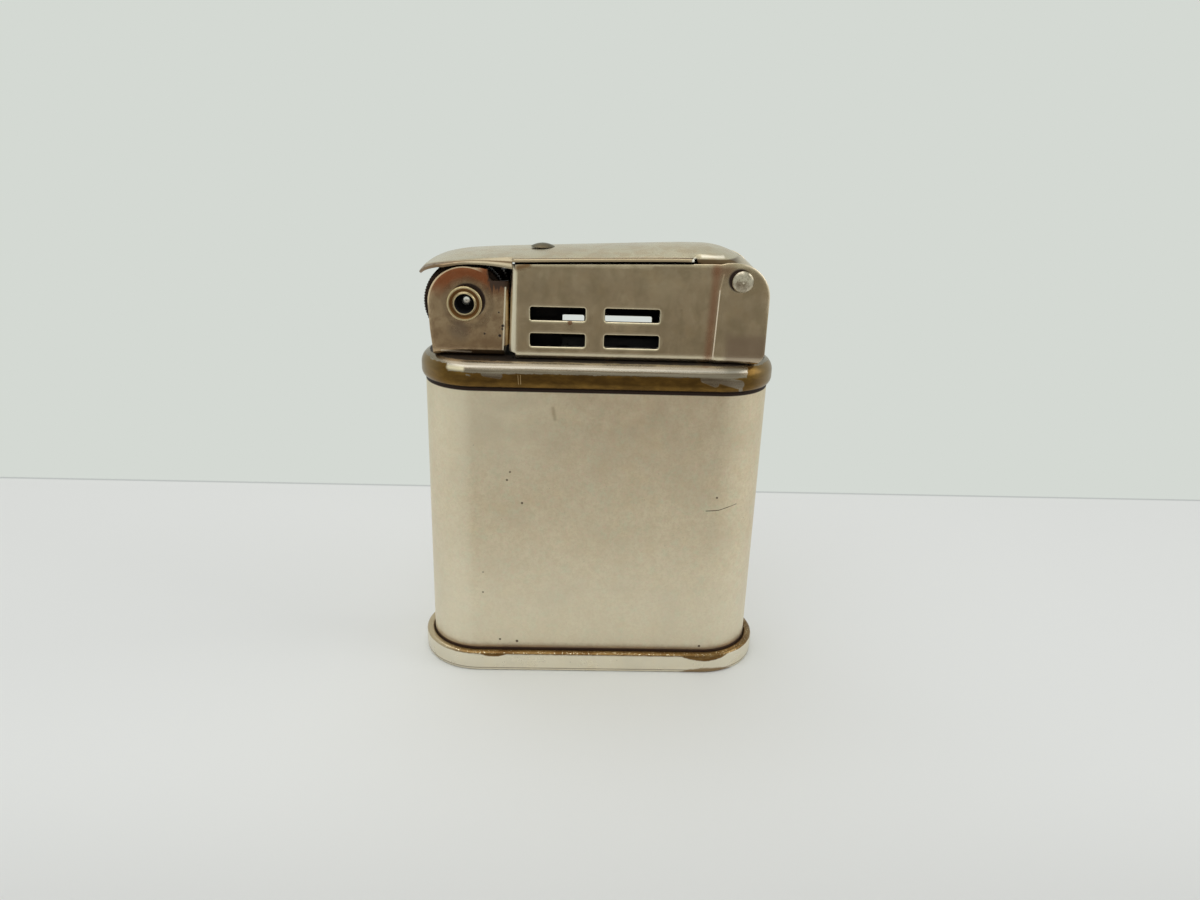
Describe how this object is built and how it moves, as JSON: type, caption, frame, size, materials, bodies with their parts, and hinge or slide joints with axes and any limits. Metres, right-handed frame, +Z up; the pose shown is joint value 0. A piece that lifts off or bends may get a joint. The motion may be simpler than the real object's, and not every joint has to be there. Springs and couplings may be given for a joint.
{
  "type": "pipe lighter",
  "caption": "Flat round-ended petrol pipe lighter with a beaded collar, slotted windguard, spark wheel and a long hinged snuffer lid.",
  "frame": {"origin": "middle of the foot, on the surface the lighter stands on", "axes": "+X to the right towards the lid hinge, -Y out of the front wall, +Z up"},
  "size_m": [0.0452, 0.0156, 0.0557],
  "materials": {
    "satin_nickel": "satin nickel plate on brass, lightly worn",
    "bright_nickel": "polished nickel plate on brass, worn and heat tinted",
    "bare_brass": "tarnished brass",
    "dark_steel": "hardened and sooted steel",
    "bright_steel": "polished steel",
    "spring_steel": "tempered spring steel",
    "flint_alloy": "rough flint alloy",
    "cotton": "cotton",
    "fibre": "fibre sealing washer"
  },
  "bodies": {
    "case": {"base_tray": "satin_nickel", "body_shell": "satin_nickel", "top_collar": "bright_nickel", "wheel_bracket": "bright_nickel", "bracket_rivets": "bright_nickel", "wheel_axle": "bright_nickel", "windguard": "bright_nickel", "windguard_rivets": "bright_nickel", "lid_spring": "spring_steel", "lid_pin": "bright_steel", "wick_tube": "bare_brass", "wick": "cotton", "tank_wadding": "cotton", "flint_tube": "bare_brass", "flint": "flint_alloy", "filler_bush": "bare_brass"},
    "lid": {"lid": "bright_nickel", "snuffer_cap": "bare_brass", "snuffer_rivet": "bare_brass"},
    "wheel": {"spark_wheel": "dark_steel", "thumb_disc_front": "dark_steel", "thumb_disc_rear": "dark_steel"},
    "flint_feed": {"flint_spring": "spring_steel", "flint_plunger": "bare_brass"},
    "flint_screw": {"flint_screw": "bare_brass"},
    "filler_seal": {"filler_washer": "fibre"},
    "filler_screw": {"filler_screw": "bare_brass"}
  },
  "joints": [
    {"name": "lid_hinge", "type": "hinge", "parent": "case", "child": "lid", "pos_m": [0.01643, 0, 0.0522], "axis": [0, 1, 0], "range_deg": [0, 100]},
    {"name": "wheel_spin", "type": "hinge", "parent": "case", "child": "wheel", "pos_m": [-0.016, 0, 0.0486], "axis": [0, 1, 0], "continuous": true},
    {"name": "flint_screw_travel", "type": "slide", "parent": "case", "child": "flint_feed", "axis": [0, 0, -1], "range_m": [0, 0.0024]},
    {"name": "flint_screw_turn", "type": "hinge", "parent": "flint_feed", "child": "flint_screw", "pos_m": [-0.016, 0, 0.001], "axis": [0, 0, -1], "range_deg": [0, 1800]},
    {"name": "filler_screw_travel", "type": "slide", "parent": "case", "child": "filler_seal", "axis": [0, 0, -1], "range_m": [0, 0.0019]},
    {"name": "filler_screw_turn", "type": "hinge", "parent": "filler_seal", "child": "filler_screw", "pos_m": [0.008, 0, 0.001], "axis": [0, 0, -1], "range_deg": [0, 1440]}
  ],
  "couplings": [
    {"joint": "flint_screw_turn", "follows": "flint_screw_travel", "rad_per_m": 12566},
    {"joint": "filler_screw_turn", "follows": "filler_screw_travel", "rad_per_m": 12566}
  ]
}
